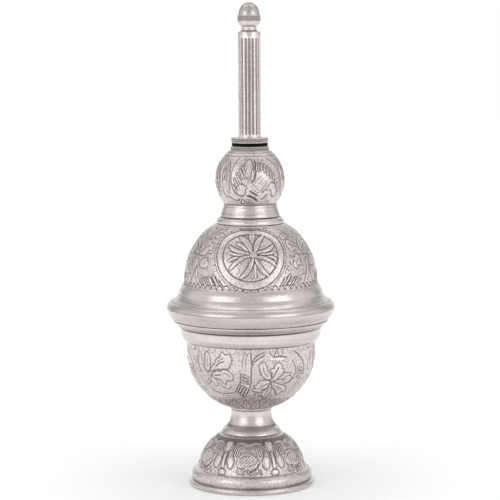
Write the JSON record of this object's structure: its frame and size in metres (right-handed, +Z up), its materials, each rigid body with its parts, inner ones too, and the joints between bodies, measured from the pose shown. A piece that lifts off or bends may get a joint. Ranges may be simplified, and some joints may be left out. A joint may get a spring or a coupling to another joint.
{
  "type": "rosewater sprinkler",
  "caption": "Footed, embossed silver-coloured sprinkler bottle with a screw-in fluted neck, a rubber gasket and a screw-on perforated head.",
  "frame": {"origin": "centre of the base ring's underside, where the foot stands on the table", "axes": "+Z up along the bottle's axis, -Y towards the viewer, with one dome medallion and one foot bud facing -Y"},
  "size_m": [0.0908, 0.0908, 0.26],
  "materials": {
    "sheet": "satin, lightly aged silver colour, embossed",
    "spun": "satin, smooth with fine pitting",
    "turned": "semi-gloss, knurled or polished",
    "rubber": "matte black",
    "fibre": "matte dark grey"
  },
  "bodies": {
    "vessel": {"base_ring": "turned", "foot_shell": "sheet", "stem": "spun", "stem_ring": "turned", "bowl": "sheet", "bowl_band": "spun", "waist_flange": "spun", "skirt": "spun", "dome": "sheet", "shoulder_ring": "turned", "collar": "spun", "ball": "sheet", "mouth_bush": "turned"},
    "neck_seal": {"gasket": "rubber"},
    "neck": {"neck_flange": "turned", "fluted_tube": "turned", "tube_cap": "turned"},
    "head_seal": {"head_washer": "fibre"},
    "head": {"head_body": "turned", "rose_cap": "turned"}
  },
  "joints": [
    {"name": "neck_lift", "type": "slide", "parent": "vessel", "child": "neck_seal", "axis": [0, 0, 1], "range_m": [0, 0.0075]},
    {"name": "neck_turn", "type": "hinge", "parent": "neck_seal", "child": "neck", "pos_m": [0, 0, 0.1853], "axis": [0, 0, 1], "range_deg": [0, 1800]},
    {"name": "head_lift", "type": "slide", "parent": "neck", "child": "head_seal", "axis": [0, 0, 1], "range_m": [0, 0.005]},
    {"name": "head_turn", "type": "hinge", "parent": "head_seal", "child": "head", "pos_m": [0, 0, 0.245], "axis": [0, 0, 1], "range_deg": [0, 1800]}
  ],
  "couplings": [
    {"joint": "neck_turn", "follows": "neck_lift", "rad_per_m": 4188.8},
    {"joint": "head_turn", "follows": "head_lift", "rad_per_m": 6283.2}
  ]
}
